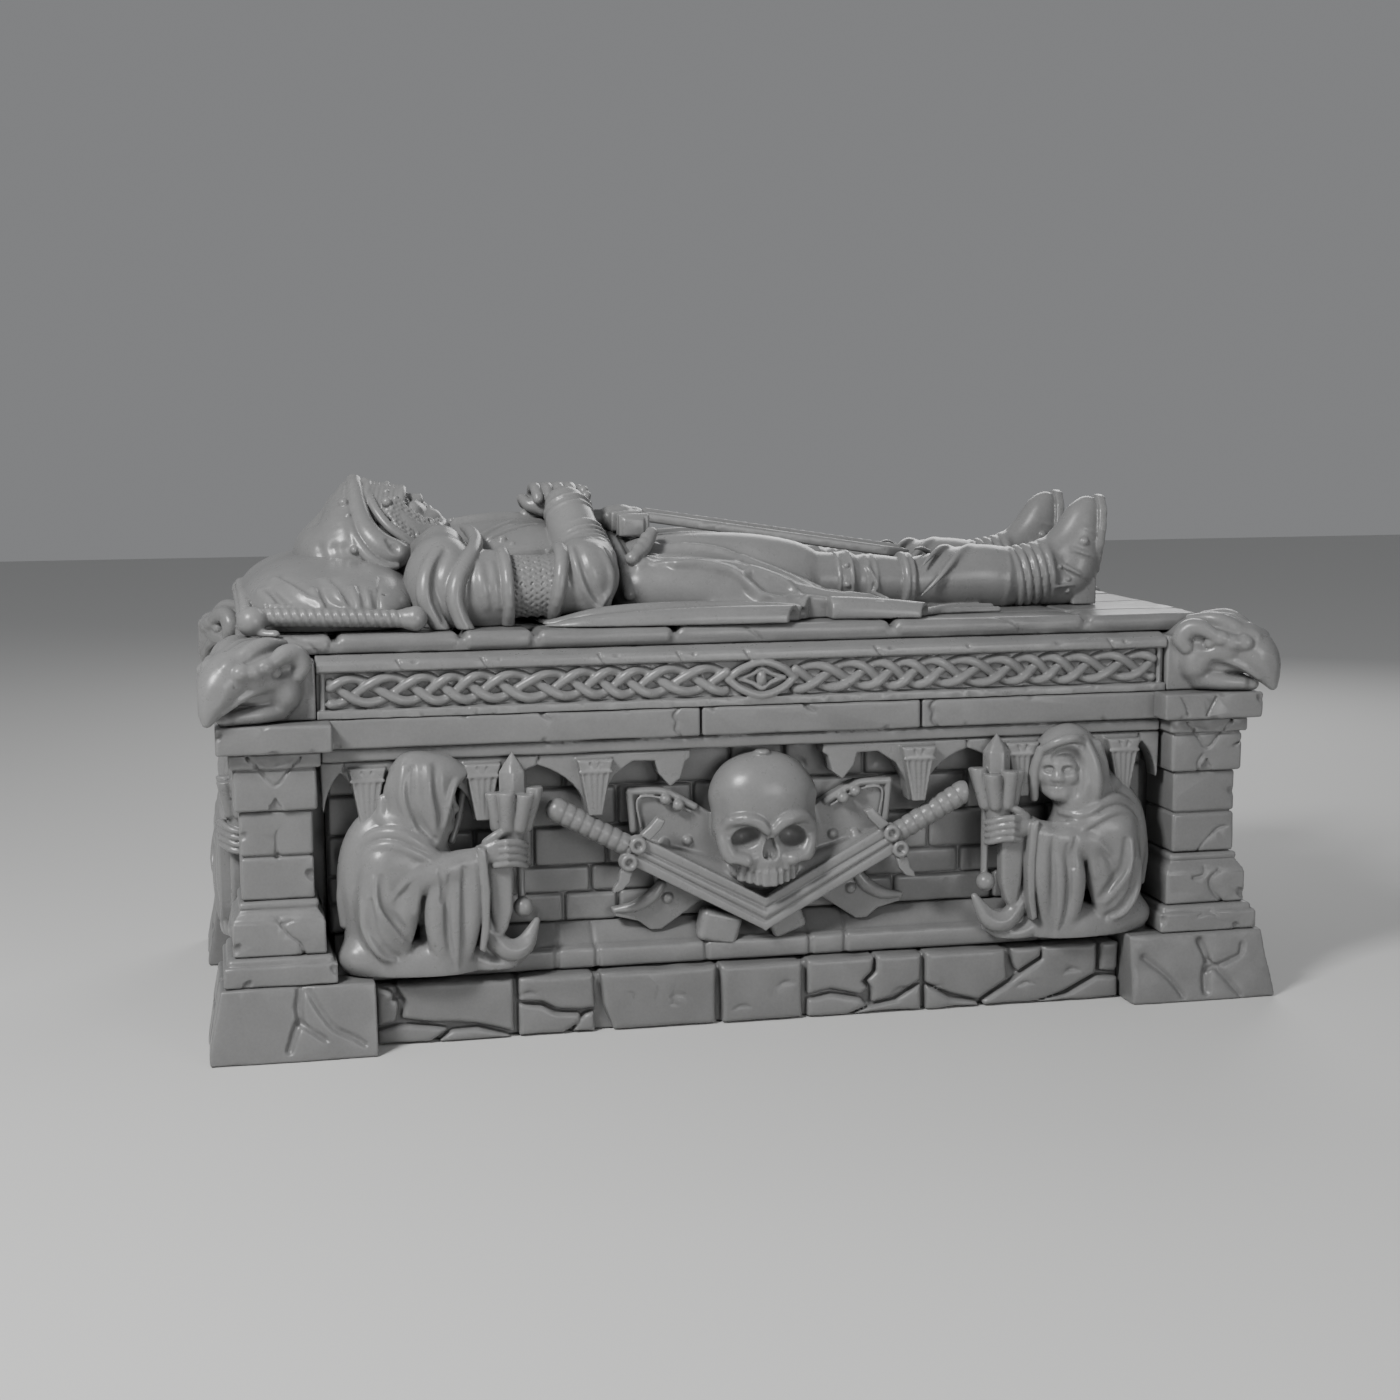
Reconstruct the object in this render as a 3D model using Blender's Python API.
# Stone effigy tomb: a rubble-plinthed chest with four corner piers, an arcaded niche on each side, a lid with a
# knotwork edge, and a knight lying on flagstones. Metres, +Z up, origin at the middle of the underside.
# -X is the head end, +X the foot end, -Y the front.
import math

import bmesh
import bpy
from mathutils import Matrix, Vector

for old in list(bpy.data.objects):
    bpy.data.objects.remove(old)

# Driving dimensions of the chest
LENGTH = 2.40
WIDTH = 1.15
JOINT_GAP = 0.0004
STONE_EDGE = 0.006
JOINT_WIDTH = 0.014
JOINT_DEPTH = 0.012

# Heights of the courses, from the ground up
CORNER_STONE_H = 0.155
SIDE_STONE_H = 0.135
LEDGE_H = 0.049
LEDGE_RISE = 0.041
PIER_PLINTH_H = 0.060
PIER_BASE_H = 0.083
TORUS_H = 0.033
SHAFT_H = 0.189
CAPITAL_H = 0.083
NECKING_H = 0.041
CAP_H = 0.060
BEAD_H = 0.028
ARCHITRAVE_H = 0.066
LID_H = 0.132
FLAG_H = 0.041

# Plan sizes
BATTER = 0.022
CORNER_STONE_X = 0.350
CORNER_STONE_Y = 0.290
SIDE_STONE_SETBACK = 0.078
SIDE_STONE_THICK = 0.200
LEDGE_SETBACK = 0.110
LEDGE_CHAMFER = 0.012
PIER_INSET_X = 0.154
PIER_INSET_Y = 0.151
PIER_PLINTH_HALF = 0.118
PIER_BASE_HALF = 0.097
TORUS_HALF = 0.083
SHAFT_HALF = 0.076
CAPITAL_HALF = 0.087
NECKING_HALF = 0.095
CAP_HALF = 0.1195
ARCHITRAVE_SETBACK = 0.095
BEAD_SETBACK = 0.012
WALL_THICK = 0.085
NICHE_DEPTH = 0.100
EAGLE_BLOCK = 0.150
FLAG_SETBACK = 0.036
CLEARANCE = 0.0012

# Arcade of pointed arches in front of each wall
ARCH_PITCH = 0.244
ARCH_DEPTH = 0.055
ARCH_SETBACK = 0.020
ARCH_APEX_DROP = 0.022
CORBEL_DROP = 0.135
CORBEL_TIP = 0.014
ARCH_STEPS = 3
BROKEN_HALF = 0.150

# Knotwork round the lid, and the joints of the flagstones above it
KNOT_PITCH = 0.080
KNOT_RELIEF = 0.009
KNOT_MARGIN = 0.008
FIELD_SINK = 0.009
FILLET_H = 0.018
BEAD_SHARE = 0.78
EYE_HALF = 0.080
FLAG_JOINTS = (-0.826, -0.583, -0.438, -0.160, 0.290, 0.706)

# Carved figures. Each is drawn for the first size below it and stretched to the real one
KNIGHT_LENGTH = 1.90
CLOAK_MARGIN = 0.039
KNIGHT_HEAD_X = -0.978
KNIGHT_FACES = 2000
MOURNER_HEIGHT = 0.440
MOURNER_OFFSET = 0.725
MOURNER_REACH = 0.325
MOURNER_FACES = 270
PLAIN_MOURNER_FACES = 180
EAGLE_FACES = 160
TROPHY_FACES = 600
SKULL_WIDTH = 0.240
SWORD_LENGTH = 0.560
SWORD_WIDTH = 0.076

# Levels and faces worked out from the dimensions
half_x = LENGTH / 2
half_y = WIDTH / 2
pier_x = half_x - PIER_INSET_X
pier_y = half_y - PIER_INSET_Y
ledge_z = SIDE_STONE_H + JOINT_GAP
ledge_top = ledge_z + LEDGE_H
pier_z = CORNER_STONE_H + JOINT_GAP
base_z = pier_z + PIER_PLINTH_H + JOINT_GAP
shaft_z = base_z + PIER_BASE_H + TORUS_H + JOINT_GAP
capital_z = shaft_z + SHAFT_H + JOINT_GAP
cap_z = capital_z + CAPITAL_H + NECKING_H + JOINT_GAP
cap_top = cap_z + CAP_H
lid_z = cap_top + JOINT_GAP
lid_top = lid_z + LID_H
flag_z = lid_top + JOINT_GAP
bed_top = flag_z + FLAG_H
architrave_z = lid_z - JOINT_GAP - ARCHITRAVE_H - BEAD_H
face_x = half_x - ARCHITRAVE_SETBACK
face_y = half_y - ARCHITRAVE_SETBACK
wall_x = pier_x + SHAFT_HALF - NICHE_DEPTH
wall_y = pier_y + SHAFT_HALF - NICHE_DEPTH
wall_foot = ledge_top + LEDGE_RISE + JOINT_GAP
wall_top = architrave_z - JOINT_GAP
bay_x = pier_x - NECKING_HALF - JOINT_GAP
bay_y = pier_y - NECKING_HALF - JOINT_GAP
arch_apex = wall_top - ARCH_APEX_DROP
arch_spring = wall_top - CORBEL_DROP

CORNERS = (("head_front", -1, -1), ("head_back", -1, 1), ("foot_front", 1, -1), ("foot_back", 1, 1))


def material(name, colour, roughness):
    made = bpy.data.materials.new(name)
    made.use_nodes = True
    shader = made.node_tree.nodes["Principled BSDF"]
    shader.inputs["Base Color"].default_value = (*colour, 1)
    shader.inputs["Roughness"].default_value = roughness
    shader.inputs["Metallic"].default_value = 0
    return made


MASONRY = material("masonry_stone", (0.21, 0.21, 0.21), 0.5)
CARVING = material("carved_stone", (0.25, 0.25, 0.25), 0.38)
RUBBLE = material("rubble_stone", (0.19, 0.19, 0.19), 0.55)


def to_object(name, bm, stone, smooth=False):
    bmesh.ops.recalc_face_normals(bm, faces=bm.faces)
    mesh = bpy.data.meshes.new(name)
    bm.to_mesh(mesh)
    bm.free()
    mesh.materials.append(stone)
    made = bpy.data.objects.new(name, mesh)
    bpy.context.scene.collection.objects.link(made)
    if smooth:
        mesh.shade_smooth()
        mesh.set_sharp_from_angle(angle=math.radians(50))
    return made


def stack_rings(bm, rings):
    """A closed solid through rings of points, each ring listed the same way round."""
    loops = [[bm.verts.new(p) for p in ring] for ring in rings]
    for low, high in zip(loops, loops[1:]):
        count = len(low)
        for i in range(count):
            bm.faces.new((low[i], low[(i + 1) % count], high[(i + 1) % count], high[i]))
    bm.faces.new(loops[0][::-1])
    bm.faces.new(loops[-1])
    return bm


def rectangle(x0, x1, y0, y1, z):
    return [(x0, y0, z), (x1, y0, z), (x1, y1, z), (x0, y1, z)]


def square_tower(name, cx, cy, profile, stone):
    """A square pier block: profile gives (half width, height) from the bottom up."""
    rings = [rectangle(cx - h, cx + h, cy - h, cy + h, z) for h, z in profile]
    return to_object(name, stack_rings(bmesh.new(), rings), stone)


def block(name, low, high, stone, edge=STONE_EDGE):
    """A squared stone with its edges worn round."""
    bm = bmesh.new()
    stack_rings(bm, [rectangle(low[0], high[0], low[1], high[1], z) for z in (low[2], high[2])])
    if edge:
        bmesh.ops.bevel(bm, geom=list(bm.edges), offset=edge, segments=1, affect="EDGES")
    return to_object(name, bm, stone)


def jointed_outline(start, end, face, back, joints, push):
    """Plan of a row of stones along one axis, with a V-shaped joint between neighbours on its face."""
    outline = [(start, -back), (start, -face - push)]
    for joint in joints:
        outline += [(joint - JOINT_WIDTH / 2, -face - push),
                    (joint, -face - push + JOINT_DEPTH),
                    (joint + JOINT_WIDTH / 2, -face - push)]
    return outline + [(end, -face - push), (end, -back)]


def stone_row(name, start, end, face, back, joints, levels, turn, stone):
    """A row of stones: levels gives (outward push, height) from the bottom up, turn places it on its side."""
    spin = Matrix.Rotation(turn, 4, "Z")
    rings = [[tuple(spin @ Vector((x, y, z))) for x, y in jointed_outline(start, end, face, back, joints, push)]
             for push, z in levels]
    return to_object(name, stack_rings(bmesh.new(), rings), stone)


FRONT, FOOT, BACK, HEAD = (math.radians(a) for a in (0, 90, 180, 270))


# Plinth: four battered corner stones, and a rubble course between them on each side
def corner_stone(name, sx, sy):
    def ring(push, z):
        outer_x = sx * (half_x - BATTER + push)
        outer_y = sy * (half_y - BATTER + push)
        inner_x = sx * (half_x - CORNER_STONE_X)
        inner_y = sy * (half_y - CORNER_STONE_Y)
        return rectangle(min(outer_x, inner_x), max(outer_x, inner_x),
                         min(outer_y, inner_y), max(outer_y, inner_y), z)
    worn = CORNER_STONE_H - STONE_EDGE
    rings = [ring(BATTER, 0), ring(0, worn), ring(-STONE_EDGE, CORNER_STONE_H)]
    return to_object(name, stack_rings(bmesh.new(), rings), RUBBLE)


def build_plinth():
    for corner, sx, sy in CORNERS:
        corner_stone("corner_stone_" + corner, sx, sy)
    side_face = half_y - SIDE_STONE_SETBACK
    end_face = half_x - SIDE_STONE_SETBACK
    span_x = half_x - CORNER_STONE_X - JOINT_GAP
    span_y = half_y - CORNER_STONE_Y - JOINT_GAP
    levels = [(0.008, 0), (0, SIDE_STONE_H - STONE_EDGE), (-STONE_EDGE, SIDE_STONE_H)]
    shares = (-0.62, -0.42, -0.14, 0.13, 0.41, 0.70)
    joints = [share * span_x for share in shares]
    back_joints = [-joint for joint in reversed(joints)]
    stone_row("plinth_front", -span_x, span_x, side_face, side_face - SIDE_STONE_THICK, joints, levels, FRONT, RUBBLE)
    stone_row("plinth_back", -span_x, span_x, side_face, side_face - SIDE_STONE_THICK, back_joints, levels,
              BACK, RUBBLE)
    end_joints = [-0.3 * span_y, 0.35 * span_y]
    stone_row("plinth_foot", -span_y, span_y, end_face, end_face - SIDE_STONE_THICK, end_joints, levels, FOOT, RUBBLE)
    stone_row("plinth_head", -span_y, span_y, end_face, end_face - SIDE_STONE_THICK, end_joints, levels, HEAD, RUBBLE)


def cross_outline(out_x, out_y, notch_x, notch_y, z):
    """Plan of a slab whose corners are cut back to the piers."""
    return [(-notch_x, -out_y, z), (notch_x, -out_y, z), (notch_x, -notch_y, z), (out_x, -notch_y, z),
            (out_x, notch_y, z), (notch_x, notch_y, z), (notch_x, out_y, z), (-notch_x, out_y, z),
            (-notch_x, notch_y, z), (-out_x, notch_y, z), (-out_x, -notch_y, z), (-notch_x, -notch_y, z)]


def build_ledge():
    """The sill that the mourners kneel on, which is also the floor of the chest. Its top slopes up to the walls."""
    out_x = half_x - LEDGE_SETBACK
    out_y = half_y - LEDGE_SETBACK
    low_x = half_x - CORNER_STONE_X - JOINT_GAP
    low_y = half_y - CORNER_STONE_Y - JOINT_GAP
    notch_x = pier_x - PIER_PLINTH_HALF - JOINT_GAP
    notch_y = pier_y - PIER_PLINTH_HALF - JOINT_GAP
    rings = [cross_outline(out_x, out_y, low_x, low_y, ledge_z),
             cross_outline(out_x, out_y, low_x, low_y, pier_z),
             cross_outline(out_x, out_y, notch_x, notch_y, pier_z),
             cross_outline(out_x, out_y, notch_x, notch_y, ledge_top - LEDGE_CHAMFER),
             cross_outline(out_x - LEDGE_CHAMFER, out_y - LEDGE_CHAMFER, notch_x, notch_y, ledge_top),
             cross_outline(wall_x, wall_y, notch_x, notch_y, ledge_top + LEDGE_RISE)]
    to_object("ledge", stack_rings(bmesh.new(), rings), MASONRY)


def build_piers():
    for corner, sx, sy in CORNERS:
        cx, cy = sx * pier_x, sy * pier_y
        worn = STONE_EDGE
        square_tower("pier_plinth_" + corner, cx, cy,
                     [(PIER_PLINTH_HALF - worn, pier_z), (PIER_PLINTH_HALF, pier_z + worn),
                      (PIER_PLINTH_HALF, pier_z + PIER_PLINTH_H - 2 * worn),
                      (PIER_PLINTH_HALF - 2 * worn, pier_z + PIER_PLINTH_H)], MASONRY)
        torus_foot = base_z + PIER_BASE_H
        square_tower("pier_base_" + corner, cx, cy,
                     [(PIER_BASE_HALF, base_z), (PIER_BASE_HALF, torus_foot - 2 * worn),
                      (TORUS_HALF - worn, torus_foot), (TORUS_HALF, torus_foot + TORUS_H * 0.3),
                      (TORUS_HALF, torus_foot + TORUS_H * 0.7), (TORUS_HALF - worn, torus_foot + TORUS_H)], MASONRY)
        joint = shaft_z + SHAFT_H * (0.52 if sx < 0 else 0.65)
        square_tower("pier_shaft_" + corner, cx, cy,
                     [(SHAFT_HALF - worn, shaft_z), (SHAFT_HALF, shaft_z + worn), (SHAFT_HALF, joint - worn),
                      (SHAFT_HALF - worn, joint), (SHAFT_HALF, joint + worn),
                      (SHAFT_HALF, shaft_z + SHAFT_H - worn), (SHAFT_HALF - worn, shaft_z + SHAFT_H)], MASONRY)
        neck_z = capital_z + CAPITAL_H
        square_tower("pier_capital_" + corner, cx, cy,
                     [(CAPITAL_HALF - worn, capital_z), (CAPITAL_HALF, capital_z + worn),
                      (CAPITAL_HALF, neck_z - worn), (CAPITAL_HALF - worn, neck_z),
                      (NECKING_HALF, neck_z + worn), (NECKING_HALF, neck_z + NECKING_H)], MASONRY)
        square_tower("pier_cap_" + corner, cx, cy,
                     [(CAP_HALF, cap_z), (CAP_HALF, cap_top - worn), (CAP_HALF - worn, cap_top)], MASONRY)


def build_walls():
    """Four ashlar walls make the hollow chest. The long ones stand between the piers and close the corners."""
    inner_x = wall_x - WALL_THICK
    inner_y = wall_y - WALL_THICK
    end_y = pier_y - PIER_BASE_HALF - JOINT_GAP
    for side, sign in (("front", -1), ("back", 1)):
        faces = sorted((sign * wall_y, sign * inner_y))
        block("wall_" + side, (-inner_x + JOINT_GAP, faces[0], wall_foot), (inner_x - JOINT_GAP, faces[1], wall_top),
              MASONRY, 0)
    for side, sign in (("head", -1), ("foot", 1)):
        faces = sorted((sign * wall_x, sign * inner_x))
        block("wall_" + side, (faces[0], -end_y, wall_foot), (faces[1], end_y, wall_top), MASONRY, 0)


def arch_points(left, right, inset):
    """One pointed arch between two corbels, from left to right, as points of the arcade's lower edge."""
    middle = (left + right) / 2
    points = []
    for foot in (left + inset, right - inset):
        arc = []
        for step in range(ARCH_STEPS + 1):
            share = step / ARCH_STEPS * math.pi / 2
            arc.append((foot + (middle - foot) * math.sin(share) ** 1.25,
                        arch_spring - inset + (arch_apex - arch_spring) * (1 - math.cos(share)) ** 0.62))
        points += arc if foot < middle else arc[-2::-1]
    return points


def arcade_outline(start, end, corbels, inset=0.0):
    """Outline of an arcade plate as seen from outside. inset fattens it, for cutting room round it.

    An end at a pier has an arch springing from the pier. A broken end stops partway down the next arch.
    """
    edges = [start] + corbels + [end]
    if abs(start) == BROKEN_HALF:
        edges[0] = ARCH_PITCH / 2
    if abs(end) == BROKEN_HALF:
        edges[-1] = -ARCH_PITCH / 2
    lower = []
    for left, right in zip(edges, edges[1:]):
        tips = [0 if edge in (start, end) else CORBEL_TIP for edge in (left, right)]
        lower += arch_points(left + tips[0], right - tips[1], inset)
    lower = clip_between(lower, start - inset, end + inset)
    return [(lower[-1][0], wall_top), (lower[0][0], wall_top)] + lower


def clip_between(points, low, high):
    """The part of a left-to-right line of points between two places, with a new point where it is cut."""
    kept = []
    for before, after in zip(points, points[1:]):
        for limit in (low, high):
            if before[0] < limit < after[0]:
                share = (limit - before[0]) / (after[0] - before[0])
                kept.append((limit, before[1] + share * (after[1] - before[1])))
        if low <= after[0] <= high:
            kept.append(after)
    if low <= points[0][0] <= high:
        kept.insert(0, points[0])
    return sorted(kept)


def prism(outline, near, far, turn):
    """A solid with an outline seen from outside, between two distances out from the middle."""
    spin = Matrix.Rotation(turn, 4, "Z")
    rings = [[spin @ Vector((u, -out, z)) for u, z in outline] for out in (near, far)]
    return stack_rings(bmesh.new(), rings)


def corbel_lumps(bm, u, near, turn):
    """The fluted bracket below each pair of arches: a fan that narrows to a foot."""
    spin = Matrix.Rotation(turn, 4, "Z")
    top = wall_top - 0.004
    levels = ((CORBEL_TIP * 0.8, 0.012, arch_spring - 0.004), (0.032, 0.024, top - 0.045),
              (0.044, 0.030, top - 0.020), (0.036, 0.030, top))
    rings = []
    for half, out, z in levels:
        ring = [(-half, -0.006), (-half, out * 0.5), (-half * 0.45, out), (half * 0.45, out), (half, out * 0.5),
                (half, -0.006)]
        rings.append([spin @ Vector((u + x, -near - y, z)) for x, y in ring])
    stack_rings(bm, rings)


def corbel_places(start, end):
    """Places of the corbels, spaced out evenly from the middle of the side."""
    count = int(half_x / ARCH_PITCH) + 1
    places = [ARCH_PITCH * (n + 0.5) for n in range(-count, count)]
    return [p for p in places if start + ARCH_PITCH * 0.3 < p < end - ARCH_PITCH * 0.3]


def arcade(name, start, end, face, turn, has_brackets):
    """A plate of pointed arches hung between two piers, with a bracket below each pair where it is seen."""
    corbels = corbel_places(start, end)
    plate = to_object(name, prism(arcade_outline(start, end, corbels), face - ARCH_DEPTH, face, turn), MASONRY)
    for u in corbels if has_brackets else ():
        bm = bmesh.new()
        corbel_lumps(bm, u, face, turn)
        join_solid(plate, to_object("bracket", bm, MASONRY))


def arcade_room(start, end, face, turn, has_brackets):
    """The space an arcade plate takes, with some room round it, to be cut from the carving near it."""
    corbels = corbel_places(start, end)
    outline = arcade_outline(start, end, corbels, CLEARANCE)
    room = [prism(outline, face - ARCH_DEPTH - 0.02, face + CLEARANCE, turn)]
    spin = Matrix.Rotation(turn, 4, "Z")
    for u in corbels if has_brackets else ():
        ring = ((-0.05, 0.05), (0.05, 0.05), (0.05, -0.035), (-0.05, -0.035))
        low = [spin @ Vector((u + x * 0.3, -face + y * 0.5, arch_spring - 0.008)) for x, y in ring]
        high = [spin @ Vector((u + x, -face + y, wall_top)) for x, y in ring]
        room.append(stack_rings(bmesh.new(), [low, high]))
    return room


def arcades():
    """Each arcade as name, start, end, face and turn. The front one is broken away behind the skull."""
    long_face = face_y - ARCH_SETBACK
    end_face = face_x - ARCH_SETBACK
    return (("arcade_front_head", -bay_x, -BROKEN_HALF, long_face, FRONT, True),
            ("arcade_front_foot", BROKEN_HALF, bay_x, long_face, FRONT, True),
            ("arcade_back", -bay_x, bay_x, long_face, BACK, False),
            ("arcade_foot", -bay_y, bay_y, end_face, FOOT, False),
            ("arcade_head", -bay_y, bay_y, end_face, HEAD, False))


def build_arcades():
    for entry in arcades():
        arcade(*entry)


def beam(name, bead_half, top_half, face, inner, joints, turn):
    """One architrave beam. Its bead runs on below the pier caps, so its foot is longer than its top."""
    bead_top = architrave_z + BEAD_H
    top = bead_top + ARCHITRAVE_H
    spin = Matrix.Rotation(turn, 4, "Z")
    rings = []
    for half, push, z in ((bead_half, -BEAD_SETBACK - 0.004, architrave_z),
                          (bead_half, -BEAD_SETBACK, architrave_z + BEAD_H / 2),
                          (bead_half, -BEAD_SETBACK - 0.004, bead_top), (top_half, 0, bead_top + 0.002),
                          (top_half, 0, top)):
        outline = jointed_outline(-half, half, face, inner, joints, push)
        rings.append([spin @ Vector((x, y, z)) for x, y in outline])
    to_object(name, stack_rings(bmesh.new(), rings), MASONRY)


def build_architrave():
    """Four beams round the chest, the long ones running past the ends of the short ones."""
    inner_x = wall_x - WALL_THICK
    inner_y = wall_y - WALL_THICK
    neck_x = pier_x - NECKING_HALF - JOINT_GAP
    cap_x = pier_x - CAP_HALF - JOINT_GAP
    neck_y = min(pier_y - NECKING_HALF, inner_y) - JOINT_GAP
    cap_y = min(pier_y - CAP_HALF, inner_y) - JOINT_GAP
    joints = [-0.42 * cap_x, -0.14 * cap_x, 0.36 * cap_x]
    beam("architrave_front", neck_x, cap_x, face_y, inner_y, joints, FRONT)
    beam("architrave_back", neck_x, cap_x, face_y, inner_y, joints[::2], BACK)
    beam("architrave_foot", neck_y, cap_y, face_x, inner_x, [], FOOT)
    beam("architrave_head", neck_y, cap_y, face_x, inner_x, [], HEAD)


def knot_triangles(cells, low, high):
    """Ridges of two strands that cross once a cell, with an eye in the middle of an even run of cells.

    Each point is (along, height, relief).
    """
    middle = (low + high) / 2
    bottom, top = low + KNOT_MARGIN, high - KNOT_MARGIN
    sunk, crest = -0.002, KNOT_RELIEF
    pit = 0.0005
    triangles = []
    for cell in range(cells):
        left = (cell - cells / 2) * KNOT_PITCH
        right = left + KNOT_PITCH
        if min(abs(left), abs(right)) < EYE_HALF * 0.9 and cells % 2 == 0:
            continue
        half = (left + right) / 2
        for turn, edge in ((top, high), (bottom, low)):
            start, end = (left, middle, crest), (right, middle, crest)
            bend, hollow = (half, turn, crest), (half, middle, pit)
            triangles += [(start, bend, hollow), (bend, end, hollow), (start, (left, edge, sunk), bend),
                          (end, bend, (right, edge, sunk)), ((left, edge, sunk), (right, edge, sunk), bend)]
    if cells % 2 == 0:
        triangles += eye_triangles(low, high, sunk, crest)
    return triangles


def eye_triangles(low, high, sunk, crest):
    """The eye-shaped ring in the middle of the knotwork, with a boss inside it."""
    middle = (low + high) / 2
    west, east = (-EYE_HALF, middle, crest), (EYE_HALF, middle, crest)
    boss = (0, middle, crest)
    triangles = []
    for sign, edge in ((1, high), (-1, low)):
        lift = abs(edge - middle) - KNOT_MARGIN * 0.7
        bends = [(u * EYE_HALF, middle + sign * lift, crest) for u in (-0.4, 0.4)]
        inner = [(-EYE_HALF * 0.62, middle, 0), (-EYE_HALF * 0.25, middle + sign * lift * 0.5, 0),
                 (EYE_HALF * 0.25, middle + sign * lift * 0.5, 0), (EYE_HALF * 0.62, middle, 0)]
        corners = [(-EYE_HALF, edge, sunk), (EYE_HALF, edge, sunk)]
        triangles += [(west, bends[0], inner[0]), (inner[0], bends[0], inner[1]), (bends[0], bends[1], inner[1]),
                      (inner[1], bends[1], inner[2]), (bends[1], east, inner[2]), (inner[2], east, inner[3]),
                      (west, corners[0], bends[0]), (corners[0], corners[1], bends[0]),
                      (bends[0], corners[1], bends[1]), (bends[1], corners[1], east)]
        triangles += [(a, b, boss) for a, b in zip(inner, inner[1:])]
    return triangles


def knotwork(lid, face, span, turn):
    """Joins the knotwork to one side of the lid, over the sunk field."""
    cells = 2 * int((span - KNOT_PITCH / 4) / KNOT_PITCH)
    low, high = lid_z + FILLET_H, lid_z + LID_H * BEAD_SHARE - 0.002
    spin = Matrix.Rotation(turn, 4, "Z")
    out = face - FIELD_SINK
    bm = bmesh.new()
    for triangle in knot_triangles(cells, low, high):
        bm.faces.new([bm.verts.new(spin @ Vector((u, -out - relief, z))) for u, z, relief in triangle])
    bmesh.ops.remove_doubles(bm, verts=bm.verts, dist=0.0001)
    rim = [edge for edge in bm.edges if edge.is_boundary]
    grown = bmesh.ops.extrude_edge_only(bm, edges=rim)["geom"]
    outward = spin @ Vector((0, -1, 0))
    for vert in (item for item in grown if isinstance(item, bmesh.types.BMVert)):
        vert.co += outward * (out - FIELD_SINK / 2 - vert.co.dot(outward))
    bmesh.ops.contextual_create(bm, geom=[item for item in grown if isinstance(item, bmesh.types.BMEdge)])
    join_solid(lid, to_object("knotwork", bm, MASONRY))


def build_lid():
    """The lid slab, with a sunk field round its edge, a bead above it, and knotwork on all but the back."""
    notch_x = face_x - EAGLE_BLOCK
    notch_y = face_y - EAGLE_BLOCK
    bead_z = lid_z + LID_H * BEAD_SHARE
    levels = [(0, lid_z), (0, lid_z + FILLET_H - 0.002), (-FIELD_SINK, lid_z + FILLET_H),
              (-FIELD_SINK, bead_z - 0.002), (0.004, bead_z), (0.004, lid_top - 0.012), (-FLAG_SETBACK, lid_top)]
    rings = [cross_outline(face_x + push, face_y + push, notch_x, notch_y, z) for push, z in levels]
    lid = to_object("lid_slab", stack_rings(bmesh.new(), rings), MASONRY)
    knotwork(lid, face_y, notch_x, FRONT)
    knotwork(lid, face_x, notch_y, FOOT)
    knotwork(lid, face_x, notch_y, HEAD)


def build_flags():
    """The bed of flagstones on the lid: one carved course, with rounded stones along its edge."""
    reach_x = face_x - FLAG_SETBACK - 0.004
    reach_y = face_y - FLAG_SETBACK - 0.004
    notch_x = face_x - EAGLE_BLOCK - JOINT_GAP
    notch_y = face_y - EAGLE_BLOCK - JOINT_GAP
    joints = [share * reach_x for share in FLAG_JOINTS]
    levels = [(0, flag_z), (0, flag_z + FLAG_H * 0.6), (-0.022, bed_top)]
    rings = []
    for push, z in levels:
        front = jointed_outline(-notch_x, notch_x, reach_y, notch_y, joints, push)
        back = jointed_outline(-notch_x, notch_x, reach_y, notch_y, joints[1::3], push)
        ends = [(reach_x + push, -notch_y), (reach_x + push, notch_y)]
        plan = front + ends + [(-x, -y) for x, y in back] + [(-x, -y) for x, y in ends]
        rings.append([(x, y, z) for x, y in plan])
    to_object("flagstone_bed", stack_rings(bmesh.new(), rings), MASONRY)


# Carved forms: lumps are laid over each other, fused into one skin, and cut flat where they rest
def limb(bm, points, radii, sides=10, squash=1.0, flat_axis=(0, 0, 1)):
    """A tapering rounded limb through points. squash thins it along flat_axis."""
    path = [Vector(p) for p in points]
    flat = Vector(flat_axis)
    rings = []
    for i, p in enumerate(path):
        ahead = path[min(i + 1, len(path) - 1)] - path[max(i - 1, 0)]
        ahead.normalize()
        side = ahead.cross(flat)
        if side.length < 0.01:
            side = ahead.cross(Vector((0, 1, 0)))
        side.normalize()
        up = side.cross(ahead).normalized()
        rings.append([p + radii[i] * (side * math.cos(a) + squash * up * math.sin(a))
                      for a in (2 * math.pi * k / sides for k in range(sides))])
    stack_rings(bm, rings)
    for end, centre in ((0, path[0]), (-1, path[-1])):
        ball(bm, centre, (radii[end] * 0.97,) * 3 if squash == 1.0 else (radii[end] * 0.8 * squash,) * 3)


def ball(bm, centre, radii, turn=None):
    place = Matrix.Translation(centre) @ (turn or Matrix.Identity(4)) @ Matrix.Diagonal((*radii, 1))
    bmesh.ops.create_icosphere(bm, subdivisions=2, radius=1, matrix=place)


def cushion(bm, centre, radii, power=3.2, sides=28, rows=10):
    """A crowned closed form: a rounded rectangle in plan that swells between its edges."""
    def curve(value, exponent):
        return math.copysign(abs(value) ** exponent, value)

    rings = []
    for row in range(rows + 1):
        lift = math.pi * (row / rows - 0.5) * 0.985
        reach = math.cos(lift) ** (1 / 1.5)
        rings.append([(centre[0] + radii[0] * reach * curve(math.cos(a), 2 / power),
                       centre[1] + radii[1] * reach * curve(math.sin(a), 2 / power),
                       centre[2] + radii[2] * curve(math.sin(lift), 1.0))
                      for a in (2 * math.pi * k / sides for k in range(sides))])
    stack_rings(bm, rings)


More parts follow.
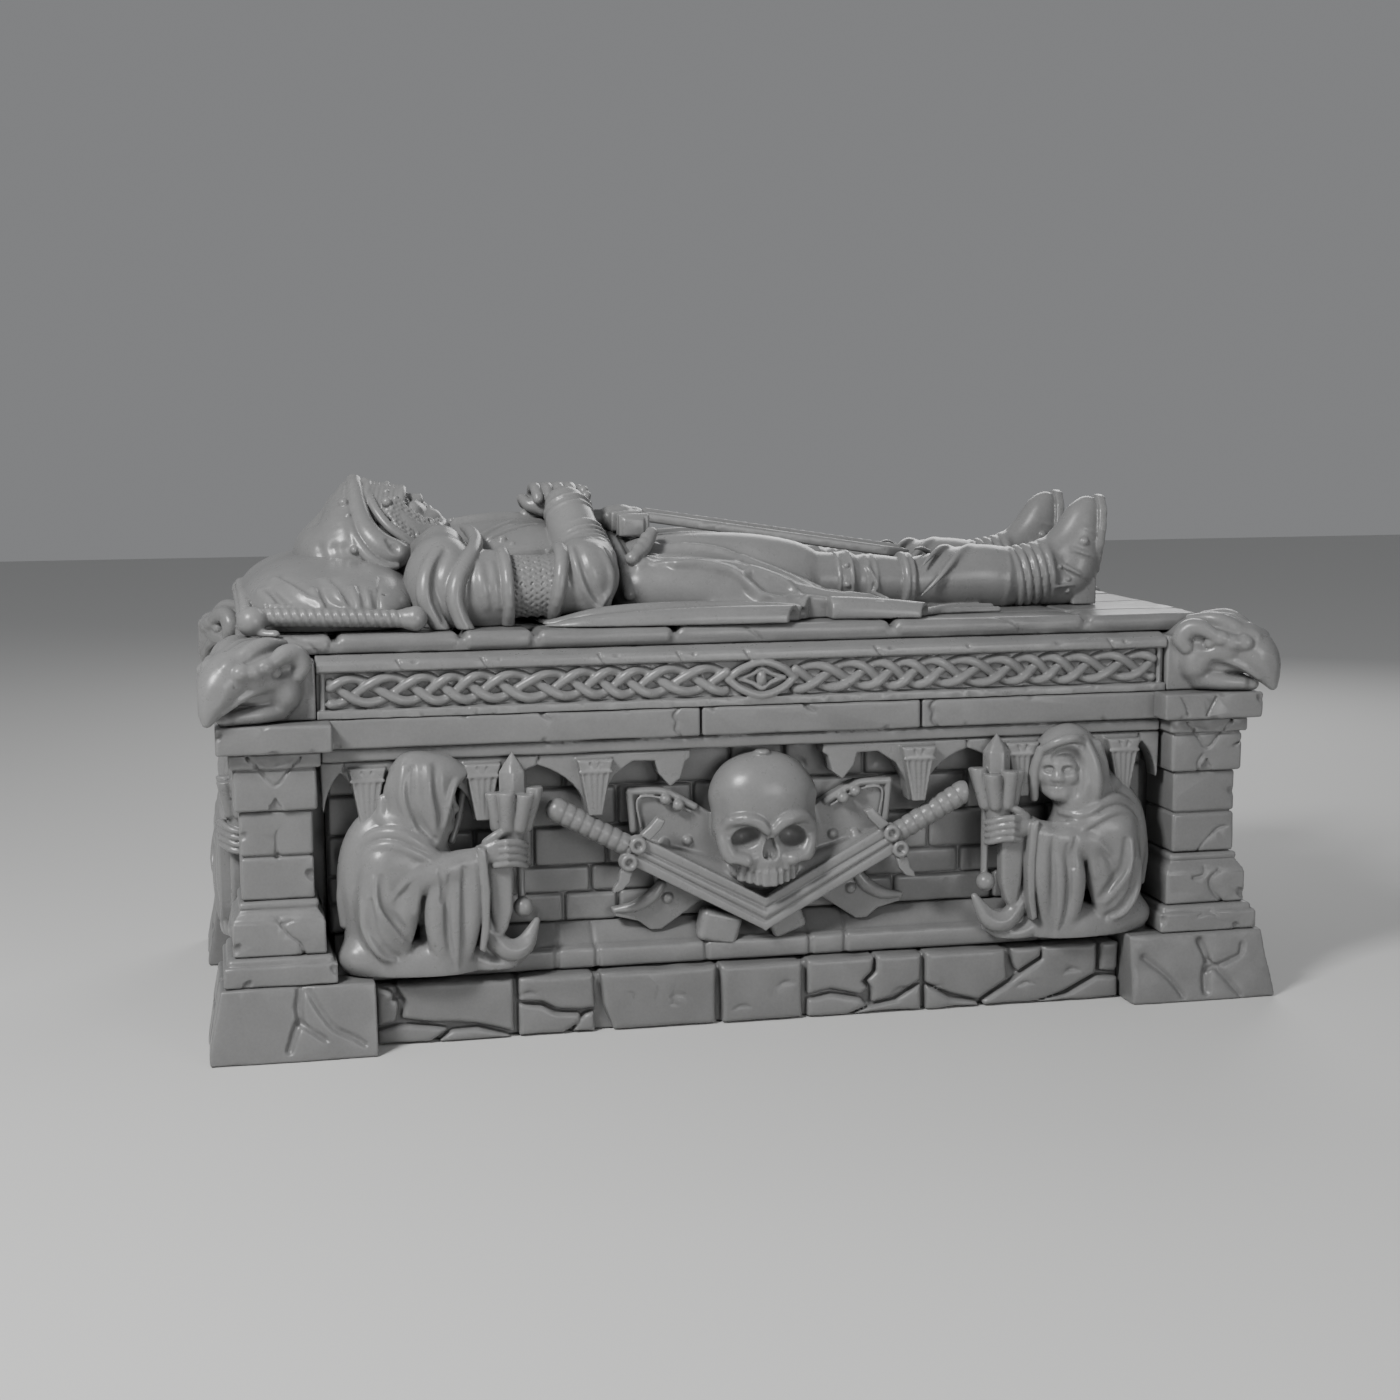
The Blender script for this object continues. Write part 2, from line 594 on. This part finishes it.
def slab(bm, corners, thick, direction):
    """A flat plate: corners of one face, pushed along direction by thick."""
    push = Vector(direction).normalized() * thick
    stack_rings(bm, [[Vector(c) for c in corners], [Vector(c) + push for c in corners]])


def baked(obj):
    """The object's mesh as its modifiers leave it, with the modifiers gone."""
    bpy.context.view_layer.update()
    evaluated = obj.evaluated_get(bpy.context.evaluated_depsgraph_get())
    mesh = bpy.data.meshes.new_from_object(evaluated)
    obj.modifiers.clear()
    obj.data = mesh


def fuse(name, bm, voxel, faces, room, hollows=None, rounds=2):
    """Fuses overlapping lumps into one skin of about the stated number of triangles.

    room is the object whose inside the piece keeps to, and hollows the lumps scooped out of it. The skin is made a
    little coarser each time until the cut and the thinning both leave it closed.
    """
    made = to_object(name, bm, CARVING)
    lumps = made.data
    scoop = to_object("scoop", hollows, CARVING) if hollows else None
    for trial in range(20):
        made.data = lumps.copy()
        skin = made.modifiers.new("skin", "REMESH")
        skin.mode = "VOXEL"
        skin.voxel_size = voxel * (1 + 0.017 * trial)
        baked(made)
        if scoop:
            combine(made, scoop, "DIFFERENCE")
        soften = made.modifiers.new("soften", "SMOOTH")
        soften.iterations = rounds
        baked(made)
        thin_skin(made, faces)
        combine(made, room, "INTERSECT")
        keep_largest(made)
        if is_closed(made.data):
            break
    if scoop:
        bpy.data.objects.remove(scoop)
    made.data.shade_smooth()
    made.data.set_sharp_from_angle(angle=math.radians(50))
    return made


def combine(target, other, operation):
    """Changes target by other, which stays as it is."""
    step = target.modifiers.new("combine", "BOOLEAN")
    step.operation = operation
    step.solver = "EXACT"
    step.object = other
    baked(target)


def join_solid(target, other, operation="UNION"):
    combine(target, other, operation)
    bpy.data.objects.remove(other)


def is_closed(mesh):
    bm = bmesh.new()
    bm.from_mesh(mesh)
    closed = all(edge.is_manifold for edge in bm.edges) and all(vert.is_manifold for vert in bm.verts)
    bm.free()
    return closed


def thin_skin(obj, faces):
    """Thins the skin to about the stated number of triangles."""
    triangles = sum(len(p.vertices) - 2 for p in obj.data.polygons)
    thin = obj.modifiers.new("thin", "DECIMATE")
    thin.ratio = min(1, faces / triangles)
    thin.use_collapse_triangulate = True
    baked(obj)


def keep_largest(obj):
    """Drops crumbs and slivers that the fusing or the cut may leave beside the main solid."""
    bm = bmesh.new()
    bm.from_mesh(obj.data)
    bmesh.ops.remove_doubles(bm, verts=bm.verts, dist=0.0002)
    bmesh.ops.dissolve_degenerate(bm, edges=bm.edges, dist=0.0002)
    left = set(bm.verts)
    islands = []
    while left:
        island, edge = set(), [left.pop()]
        while edge:
            vert = edge.pop()
            island.add(vert)
            for link in vert.link_edges:
                other = link.other_vert(vert)
                if other in left:
                    left.remove(other)
                    edge.append(other)
        islands.append(island)
    largest = max(islands, key=len)
    bmesh.ops.delete(bm, geom=[v for v in bm.verts if v not in largest], context="VERTS")
    bm.to_mesh(obj.data)
    bm.free()


def build_knight():
    """The knight, the cushion under the head, the cloak and the sword, carved from one block."""
    s = KNIGHT_LENGTH / 1.90
    across = (face_y - FLAG_SETBACK - CLOAK_MARGIN) / 0.405
    z = bed_top + JOINT_GAP
    bm = bmesh.new()

    def at(x, y, up):
        return (KNIGHT_HEAD_X + (x + 0.978) * s, y * across, z + up * s)

    def lump(centre, radii):
        ball(bm, at(*centre), tuple(r * s for r in radii))

    def tube(points, radii, sides=10, squash=1.0):
        limb(bm, [at(*p) for p in points], [r * s for r in radii], sides, squash)

    # Cushion, with a roped seam and a tassel at each corner
    cushion(bm, at(-0.885, 0, 0.03), (0.190 * s, 0.375 * across, 0.125 * s))
    for side in (-1, 1):
        tube([(-1.075, side * 0.385, 0.022), (-0.90, side * 0.392, 0.022), (-0.72, side * 0.385, 0.024)],
             [0.019, 0.019, 0.024], 8)
        lump((-0.712, side * 0.385, 0.026), (0.028, 0.026, 0.026))
        lump((-1.085, side * 0.395, 0.028), (0.033, 0.033, 0.033))
    tube([(-1.075, -0.38, 0.022), (-1.085, 0, 0.026), (-1.075, 0.38, 0.022)], [0.018, 0.018, 0.018], 8)
    # Hood with its rolled edge, then the helmet and the face
    tube([(-0.945, 0, 0.115), (-0.90, 0, 0.17), (-0.855, 0, 0.20), (-0.80, 0, 0.175), (-0.74, 0, 0.13)],
         [0.075, 0.115, 0.135, 0.135, 0.12], 14)
    lump((-0.845, 0, 0.285), (0.032, 0.06, 0.044))
    for side in (-1, 1):
        tube([(-0.835, side * 0.05, 0.305), (-0.815, side * 0.105, 0.255), (-0.77, side * 0.145, 0.185),
              (-0.72, side * 0.16, 0.135), (-0.675, side * 0.14, 0.115)], [0.02, 0.024, 0.027, 0.03, 0.024], 8)
    tube([(-0.80, 0, 0.20), (-0.72, 0, 0.18), (-0.65, 0, 0.165), (-0.60, 0, 0.13)], [0.105, 0.10, 0.085, 0.08], 12)
    lump((-0.735, 0, 0.255), (0.06, 0.062, 0.045))
    lump((-0.632, 0, 0.225), (0.025, 0.035, 0.028))
    # Trunk, shoulder cape and mail sleeves
    tube([(-0.62, 0, 0.085), (-0.50, 0, 0.105), (-0.36, 0, 0.10), (-0.20, 0, 0.075)], [0.19, 0.225, 0.205, 0.175],
         14, 0.58)
    for side in (-1, 1):
        lump((-0.60, side * 0.225, 0.085), (0.095, 0.115, 0.115))
        tube([(-0.60, side * 0.25, 0.08), (-0.51, side * 0.265, 0.075)], [0.105, 0.10], 12)
        tube([(-0.52, side * 0.27, 0.065), (-0.40, side * 0.285, 0.062)], [0.072, 0.068])
        tube([(-0.40, side * 0.285, 0.065), (-0.32, side * 0.285, 0.070), (-0.275, side * 0.265, 0.085)],
             [0.080, 0.078, 0.060])
        tube([(-0.29, side * 0.25, 0.10), (-0.31, side * 0.185, 0.175), (-0.345, side * 0.10, 0.235)],
             [0.075, 0.062, 0.048])
        tube([(-0.345, side * 0.09, 0.245), (-0.40, side * 0.04, 0.25)], [0.052, 0.045], 8)
    lump((-0.385, 0, 0.255), (0.07, 0.075, 0.05))
    # Tunic, open at the front of the near knee, with its folds running down to the ground
    tube([(-0.22, 0, 0.055), (-0.10, 0, 0.065), (0.08, 0, 0.065), (0.22, 0, 0.055), (0.30, 0, 0.04)],
         [0.19, 0.225, 0.245, 0.24, 0.22], 14, 0.50)
    for side in (-1, 1):
        tube([(-0.18, side * 0.09, 0.11), (0.02, side * 0.12, 0.11), (0.20, side * 0.145, 0.095)],
             [0.035, 0.04, 0.035], 8)
        tube([(-0.16, side * 0.19, 0.06), (0.05, side * 0.24, 0.055), (0.30, side * 0.27, 0.03),
              (0.42, side * 0.28, 0.015)], [0.04, 0.04, 0.035, 0.02], 8)
        tube([(-0.55, side * 0.355, 0.010), (-0.25, side * 0.375, 0.014), (0.075, side * 0.405, 0.016)],
             [0.03, 0.036, 0.036], 8)
        tube([(-0.15, side * 0.325, 0.012), (0.15, side * 0.34, 0.018), (0.375, side * 0.365, 0.018)],
             [0.035, 0.04, 0.036], 8)
        tube([(0.36, side * 0.30, 0.0), (0.56, side * 0.27, 0.006)], [0.03, 0.018], 8)
    slab(bm, [at(-0.62, -0.36, -0.02), at(0.08, -0.40, -0.02), at(0.38, -0.37, -0.02), at(0.60, -0.28, -0.02),
              at(0.66, 0.0, -0.02), at(0.60, 0.28, -0.02), at(0.38, 0.37, -0.02), at(0.08, 0.40, -0.02),
              at(-0.62, 0.36, -0.02)], 0.032 * s, (0, 0, 1))
    # Legs: knee guard, flared greave, gathered ankle and boot
    for side, out in ((-1, 0.150), (1, 0.120)):
        y = side * out
        tube([(0.10, y, 0.07), (0.27, y, 0.075), (0.35, y, 0.078), (0.43, y, 0.070)],
             [0.080, 0.078, 0.074, 0.062], 12)
        tube([(0.43, y, 0.068), (0.56, y, 0.070), (0.665, y, 0.068)], [0.060, 0.074, 0.080], 12)
        tube([(0.67, y, 0.055), (0.79, y, 0.058)], [0.058, 0.060], 12)
        for ring_x in (0.705, 0.735, 0.765):
            lump((ring_x, y, 0.057), (0.017, 0.069, 0.069))
        tube([(0.79, y, 0.055), (0.855, y, 0.065), (0.865, y, 0.13), (0.880, y, 0.19), (0.892, y, 0.232)],
             [0.060, 0.058, 0.056, 0.046, 0.030], 12)
        slab(bm, [at(0.893, y - 0.042, -0.02), at(0.893, y + 0.042, -0.02), at(0.893, y + 0.042, 0.075),
                  at(0.893, y - 0.042, 0.075)], 0.022 * s, (1, 0, 0))
        slab(bm, [at(0.885, y - 0.045, 0.07), at(0.885, y + 0.045, 0.07), at(0.908, y + 0.052, 0.17),
                  at(0.900, y + 0.030, 0.262), at(0.900, y - 0.030, 0.262), at(0.908, y - 0.052, 0.17)],
             0.018 * s, (1, 0, 0.1))
    # Sword laid along the body, with its grip under the hands
    slab(bm, [at(-0.20, -0.030, 0.19), at(0.44, -0.020, 0.112), at(0.49, 0.0, 0.108), at(0.44, 0.020, 0.112),
              at(-0.20, 0.030, 0.19)], 0.022 * s, (0, 0, 1))
    slab(bm, [at(-0.225, -0.125, 0.135), at(-0.165, -0.125, 0.135), at(-0.165, 0.125, 0.135),
              at(-0.225, 0.125, 0.135)], 0.045 * s, (0, 0, 1))
    lump((-0.195, 0, 0.205), (0.035, 0.045, 0.032))
    tube([(-0.20, 0, 0.21), (-0.42, 0, 0.225)], [0.022, 0.022], 8)
    room = block("room", (-half_x, -half_y, z), (half_x, half_y, z + 0.5), CARVING, 0)
    fuse("knight_effigy", bm, 0.011, KNIGHT_FACES, room)
    bpy.data.objects.remove(room)


def side_room(turn, start, end):
    """The open space in front of one side: clear of the wall, the ledge, the arcade and the architrave."""
    long_side = turn in (FRONT, BACK)
    wall, face = (wall_y, face_y) if long_side else (wall_x, face_x)
    ledge_out = (half_y if long_side else half_x) - LEDGE_SETBACK
    g = CLEARANCE
    far = face + 0.4
    outline = [(wall + g, wall_top - g), (wall + g, ledge_top + LEDGE_RISE + g),
               (ledge_out - LEDGE_CHAMFER + g / 2, ledge_top + g), (ledge_out + g, ledge_top - LEDGE_CHAMFER + g / 2),
               (ledge_out + g, CORNER_STONE_H + g), (far, CORNER_STONE_H + g), (far, wall_top + 0.09),
               (face + g, wall_top + 0.09),
               (face + g, wall_top - g)]
    spin = Matrix.Rotation(turn, 4, "Z")
    rings = [[spin @ Vector((u, -out, z)) for out, z in outline] for u in (start, end)]
    room = to_object("room", stack_rings(bmesh.new(), rings), CARVING)
    for _, first, last, plate_face, plate_turn, has_brackets in arcades():
        if plate_turn == turn and first < end and last > start:
            for cutter in arcade_room(first, last, plate_face, turn, has_brackets):
                join_solid(room, to_object("cutter", cutter, CARVING), "DIFFERENCE")
    return room


def mourner_lumps(bm, place):
    """One kneeling mourner in a hooded cloak, holding up a staff with a sheaf-shaped head."""
    s = MOURNER_HEIGHT / 0.440
    turn = place.to_3x3().to_4x4()

    def at(x, out, up):
        return place @ Vector((x * s, -out * s, up * s))

    def lump(centre, radii):
        ball(bm, at(*centre), tuple(r * s for r in radii), turn)

    def tube(points, radii, sides=8):
        limb(bm, [at(*p) for p in points], [r * s for r in radii], sides)

    # Hood, drawn to a peak over the face, with a loose edge down each side
    lump((-0.012, 0.072, 0.345), (0.088, 0.062, 0.090))
    tube([(-0.01, 0.072, 0.400), (0.045, 0.072, 0.390), (0.078, 0.072, 0.372)], [0.038, 0.034, 0.015])
    tube([(0.066, 0.100, 0.360), (0.042, 0.120, 0.300), (0.005, 0.112, 0.250)], [0.018, 0.022, 0.018])
    # Shoulders, and the cloak falling down the back to the ground
    lump((-0.060, 0.072, 0.245), (0.112, 0.072, 0.062))
    tube([(-0.095, 0.070, 0.290), (-0.142, 0.066, 0.210), (-0.155, 0.062, 0.120), (-0.150, 0.058, 0.030)],
         [0.045, 0.052, 0.052, 0.042])
    tube([(-0.050, 0.072, 0.220), (-0.070, 0.072, 0.120), (-0.060, 0.070, 0.020)], [0.080, 0.085, 0.085], 12)
    tube([(-0.125, 0.098, 0.235), (-0.115, 0.112, 0.130), (-0.100, 0.108, 0.020)], [0.045, 0.048, 0.034])
    # Body and knees under the arms
    tube([(0.030, 0.072, 0.170), (0.035, 0.072, 0.080), (0.030, 0.072, -0.010)], [0.055, 0.062, 0.070])
    lump((-0.020, 0.078, -0.005), (0.115, 0.068, 0.060))
    lump((-0.095, 0.070, -0.025), (0.110, 0.066, 0.040))
    # Near arm, the deep sleeve hanging from its cuff, and the hands
    tube([(-0.060, 0.118, 0.205), (-0.030, 0.125, 0.130), (0.050, 0.118, 0.165), (0.102, 0.104, 0.200)],
         [0.045, 0.044, 0.040, 0.032])
    tube([(0.096, 0.106, 0.200), (0.094, 0.116, 0.100), (0.072, 0.116, 0.000), (0.046, 0.110, -0.055)],
         [0.032, 0.032, 0.034, 0.018])
    tube([(0.030, 0.118, 0.140), (0.022, 0.122, 0.040), (0.036, 0.116, -0.045)], [0.034, 0.038, 0.024])
    lump((0.158, 0.100, 0.214), (0.050, 0.030, 0.034))
    # Staff: a pointed head, a sheaf below it and a tapering blade
    for lean, profile in ((0.178, [(0.030, 0.325), (0.030, 0.372), (0.003, 0.410)]),
                          (0.176, [(0.030, 0.240), (0.060, 0.255), (0.068, 0.335), (0.025, 0.345)]),
                          (0.152, [(0.010, 0.030), (0.024, 0.055), (0.029, 0.240)])):
        stack_rings(bm, [[at(lean + r * math.cos(a), 0.090 + r * 0.9 * math.sin(a), up)
                          for a in (math.pi / 4 * k for k in range(8))] for r, up in profile])
    # Scarf that curls up under the staff, and the tassel beside it
    tube([(0.100, 0.090, 0.075), (0.128, 0.095, 0.020), (0.175, 0.095, -0.005), (0.222, 0.090, 0.045)],
         [0.018, 0.024, 0.022, 0.012])
    tube([(0.196, 0.075, 0.250), (0.196, 0.075, 0.080)], [0.012, 0.018])
    lump((0.110, 0.070, -0.015), (0.110, 0.062, 0.028))


def mourner(name, u, facing, turn, start, end, faces):
    foot = ledge_top + LEDGE_RISE / 2
    wall = wall_y if turn in (FRONT, BACK) else wall_x
    place = (Matrix.Rotation(turn, 4, "Z") @ Matrix.Translation((u, -wall, foot))
             @ Matrix.Diagonal((facing, 1, 1, 1)))
    bm = bmesh.new()
    mourner_lumps(bm, place)
    room = side_room(turn, start, end)
    fuse(name, bm, 0.009, faces, room, rounds=1)
    bpy.data.objects.remove(room)


def build_mourners():
    """Two mourners on each long side, facing the middle, and one on each short side."""
    near, far = MOURNER_OFFSET - MOURNER_REACH, pier_x - PIER_PLINTH_HALF - CLEARANCE
    for side, turn, faces in (("front", FRONT, MOURNER_FACES), ("back", BACK, PLAIN_MOURNER_FACES)):
        left, right = ("head", "foot") if side == "front" else ("foot", "head")
        mourner(f"mourner_{side}_{left}", -MOURNER_OFFSET, 1, turn, -far, -near, faces)
        mourner(f"mourner_{side}_{right}", MOURNER_OFFSET, -1, turn, near, far, faces)
    mourner("mourner_foot", 0, 1, FOOT, -MOURNER_REACH, MOURNER_REACH, PLAIN_MOURNER_FACES)
    mourner("mourner_head", 0, -1, HEAD, -MOURNER_REACH, MOURNER_REACH, PLAIN_MOURNER_FACES)


def trophy_lumps(bm):
    """The trophy on the front: two studded plates, two swords in a V, and a skull above their points."""
    s = SWORD_LENGTH / 0.560
    foot = ledge_top + 0.028
    tip = Vector((0.016 * s, -wall_y - 0.052 * s, foot))

    def place(x, out, z):
        return Vector((x * s, -wall_y - out * s, foot + (z - 0.212) * s))

    for side in (-1, 1):
        def at(x, out, z):
            return place(0.012 + side * x, out, z)

        def tube(points, radii, sides):
            limb(bm, points, [r * s for r in radii], sides)

        slab(bm, [at(x, 0.045, z) for x, z in ((0.274, 0.534), (0.155, 0.505), (0.03, 0.45), (0.03, 0.27),
                                               (0.12, 0.25), (0.215, 0.205), (0.25, 0.245), (0.30, 0.262),
                                               (0.235, 0.31), (0.256, 0.433))], 0.05 * s, (0, 1, 0))
        tube([at(0.225, 0.05, 0.305), at(0.27, 0.055, 0.262), at(0.315, 0.05, 0.258)], [0.02, 0.02, 0.01], 6)
        for x, z in ((0.225, 0.51), (0.20, 0.498), (0.225, 0.44), (0.19, 0.44), (0.21, 0.32)):
            ball(bm, at(x, 0.048, z), (0.012 * s,) * 3)
        # Sword from the meeting of the points out to the pommel
        along = at(0.445, 0.052, 0.504) - tip
        along.normalize()
        across = Vector((-along.z, 0, along.x))

        def on(distance, across_by, out):
            return tip + along * distance + across * across_by - Vector((0, out * s, 0))

        half = SWORD_WIDTH / 2
        guard = SWORD_LENGTH * 0.60
        slab(bm, [on(-0.02 * s, -half, 0.02), on(guard, -half, 0.02), on(guard, half, 0.02), on(0.02 * s, half, 0.02)],
             0.06 * s, (0, 1, 0))
        tube([on(guard - 0.005 * s, -0.06 * s, 0.012), on(guard + 0.012 * s, 0, 0.016),
              on(guard, 0.05 * s, 0.012)], [0.013, 0.026, 0.013], 8)
        tube([on(guard, 0, 0), on(SWORD_LENGTH * 0.96, 0, 0)], [0.025, 0.026], 10)
        ball(bm, on(SWORD_LENGTH * 0.985, 0, 0), (0.027 * s,) * 3)
        ball(bm, at(0.072, 0.025, 0.222), (0.042 * s, 0.035 * s, 0.032 * s))


def skull_place():
    """Maps a point drawn for a skull 0.240 wide, out from the wall and up from the sword points, to its place."""
    s = SKULL_WIDTH / 0.240
    crown = arch_apex - 0.004

    def at(x, out, drop):
        return Vector((x * s, -wall_y - out * s, crown - drop * s))

    def scaled(*radii):
        return tuple(r * s for r in radii)

    return at, scaled


def skull_lumps(bm):
    at, scaled = skull_place()
    ball(bm, at(0.010, 0.035, 0.081), scaled(0.118, 0.085, 0.103))
    ball(bm, at(0.012, 0.050, 0.156), scaled(0.100, 0.070, 0.055))
    limb(bm, [at(-0.075, 0.10, 0.129), at(0.014, 0.125, 0.136), at(0.10, 0.10, 0.129)],
         scaled(0.020, 0.022, 0.020), 8)
    for side in (-1, 1):
        ball(bm, at(0.014 + side * 0.072, 0.085, 0.196), scaled(0.034, 0.030, 0.022))
    limb(bm, [at(0.015, 0.10, 0.156), at(0.015, 0.105, 0.216)], scaled(0.030, 0.045), 8)
    limb(bm, [at(0.015, 0.085, 0.216), at(0.015, 0.085, 0.261)], scaled(0.056, 0.052), 10)


def skull_hollows():
    """Eye sockets, nose opening and hollow cheeks of the skull."""
    at, scaled = skull_place()
    bm = bmesh.new()
    for side in (-1, 1):
        ball(bm, at(0.014 + side * 0.050, 0.125, 0.161), scaled(0.033, 0.045, 0.024))
        ball(bm, at(0.014 + side * 0.080, 0.115, 0.234), scaled(0.025, 0.045, 0.020))
    nose = ((0.020, 0.211), (0.018, 0.196), (0.006, 0.171))
    stack_rings(bm, [[at(0.015 - half, 0.17, drop), at(0.015 + half, 0.17, drop),
                      at(0.015 + half, 0.115, drop), at(0.015 - half, 0.115, drop)] for half, drop in nose])
    return bm


def build_trophy():
    bm = bmesh.new()
    trophy_lumps(bm)
    skull_lumps(bm)
    reach = SWORD_LENGTH * 0.857
    room = side_room(FRONT, -reach, reach)
    fuse("skull_and_swords", bm, 0.007, TROPHY_FACES, room, skull_hollows(), rounds=1)
    bpy.data.objects.remove(room)


def build_eagles():
    """An eagle's head on a square block above each pier, looking out over the corner."""
    foot = cap_top + CLEARANCE
    for corner, sx, sy in CORNERS:
        s = EAGLE_BLOCK / 0.150
        place = Matrix.Translation((sx * pier_x, sy * pier_y, foot)) @ Matrix.Diagonal((sx * s, sy * s, s, 1))
        bm = bmesh.new()

        def at(x, y, up):
            return place @ Vector((x, y, up))

        def tube(points, radii, sides):
            limb(bm, points, [r * s for r in radii], sides)

        inner_x = (face_x - EAGLE_BLOCK + CLEARANCE - pier_x) / s
        inner_y = (face_y - EAGLE_BLOCK + CLEARANCE - pier_y) / s
        stack_rings(bm, [[at(x, y, up) for x, y in ((inner_x, inner_y), (0.055, inner_y), (0.055, 0.06),
                                                     (inner_x, 0.06))] for up in (-0.02, 0.145)])
        ball(bm, at(0.022, 0.03, 0.10), (0.082 * s, 0.082 * s, 0.080 * s))
        tube([at(0.03, 0.035, 0.11), at(0.085, 0.09, 0.085), at(0.122, 0.125, 0.045), at(0.130, 0.136, 0.012)],
             [0.066, 0.052, 0.034, 0.012], 10)
        tube([at(0.03, 0.04, 0.04), at(0.085, 0.09, 0.022)], [0.045, 0.024], 8)
        for a, b in ((0.075, 0.0), (0.0, 0.075)):
            tube([at(a * 0.5 + 0.05, b * 0.5 + 0.055, 0.135), at(a + 0.005, b + 0.005, 0.130),
                  at(a - 0.03, b - 0.03, 0.150)], [0.022, 0.026, 0.022], 8)
        ball(bm, at(0.0, 0.0, 0.150), (0.05 * s, 0.05 * s, 0.028 * s))
        x0, x1 = sorted((sx * (face_x - EAGLE_BLOCK + CLEARANCE), sx * half_x))
        y0, y1 = sorted((sy * (face_y - EAGLE_BLOCK + CLEARANCE), sy * half_y))
        room = block("room", (x0, y0, foot), (x1, y1, foot + 0.3 * s), CARVING, 0)
        fuse("eagle_" + corner, bm, 0.009, EAGLE_FACES, room, rounds=1)
        bpy.data.objects.remove(room)


build_plinth()
build_ledge()
build_piers()
build_walls()
build_arcades()
build_architrave()
build_lid()
build_flags()
build_knight()
build_mourners()
build_trophy()
build_eagles()
